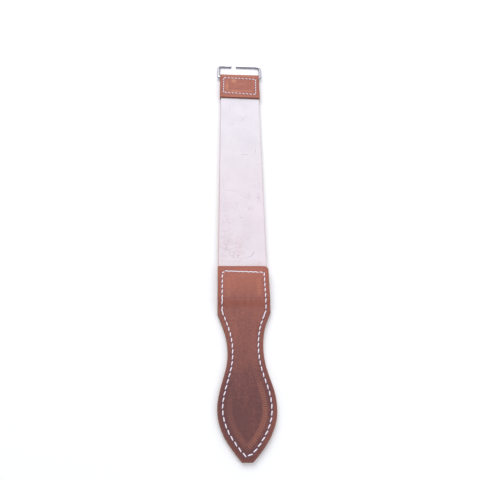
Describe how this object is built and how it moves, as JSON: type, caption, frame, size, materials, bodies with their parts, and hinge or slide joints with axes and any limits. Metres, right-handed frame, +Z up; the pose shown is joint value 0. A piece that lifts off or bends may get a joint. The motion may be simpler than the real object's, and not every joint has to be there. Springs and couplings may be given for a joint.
{
  "type": "hanging razor strop",
  "caption": "Hanging leather razor strop: a pale stropping strip with a sewn, leaf-shaped brown leather handle and a folded brown leather tab on a swinging rectangular wire ring.",
  "frame": {"origin": "centre of the strop's box on the surface that it lies on", "axes": "+Y along the strip towards the ring, +Z up out of the stropping face, +X to the right with the ring at the top"},
  "size_m": [0.061, 0.5109, 0.0089],
  "materials": {
    "brown_leather": "smooth dyed vegetable-tanned leather, matt to satin, darker in its folds",
    "pale_leather": "undyed smooth leather, matt, lightly marked by use",
    "sewing_thread": "thick twisted and waxed thread, off-white",
    "plated_wire": "bright nickel-plated round wire, bent to a rectangle with its ends left open"
  },
  "bodies": {
    "hanger": {"hanger_tab": "brown_leather", "strip_upper": "pale_leather", "tab_needle_thread": "sewing_thread", "tab_bobbin_thread": "sewing_thread"},
    "ring": {"hanger_ring": "plated_wire"},
    "strap_middle": {"strip_middle": "pale_leather"},
    "handle": {"strip_lower": "pale_leather", "handle_front": "brown_leather", "handle_back": "brown_leather", "handle_needle_thread": "sewing_thread", "handle_bobbin_thread": "sewing_thread"}
  },
  "joints": [
    {"name": "ring_swing", "type": "hinge", "parent": "hanger", "child": "ring", "pos_m": [0, 0.22786, 0.00415], "axis": [1, 0, 0], "range_deg": [-158, 168]},
    {"name": "strip_bend_upper", "type": "hinge", "parent": "hanger", "child": "strap_middle", "pos_m": [0, 0.10019, 0.00415], "axis": [-1, 0, 0], "range_deg": [-45, 45], "stiffness_Nm_per_rad": 0.07},
    {"name": "strip_bend_lower", "type": "hinge", "parent": "strap_middle", "child": "handle", "pos_m": [0, 0.01553, 0.00415], "axis": [-1, 0, 0], "range_deg": [-45, 45], "stiffness_Nm_per_rad": 0.07}
  ]
}
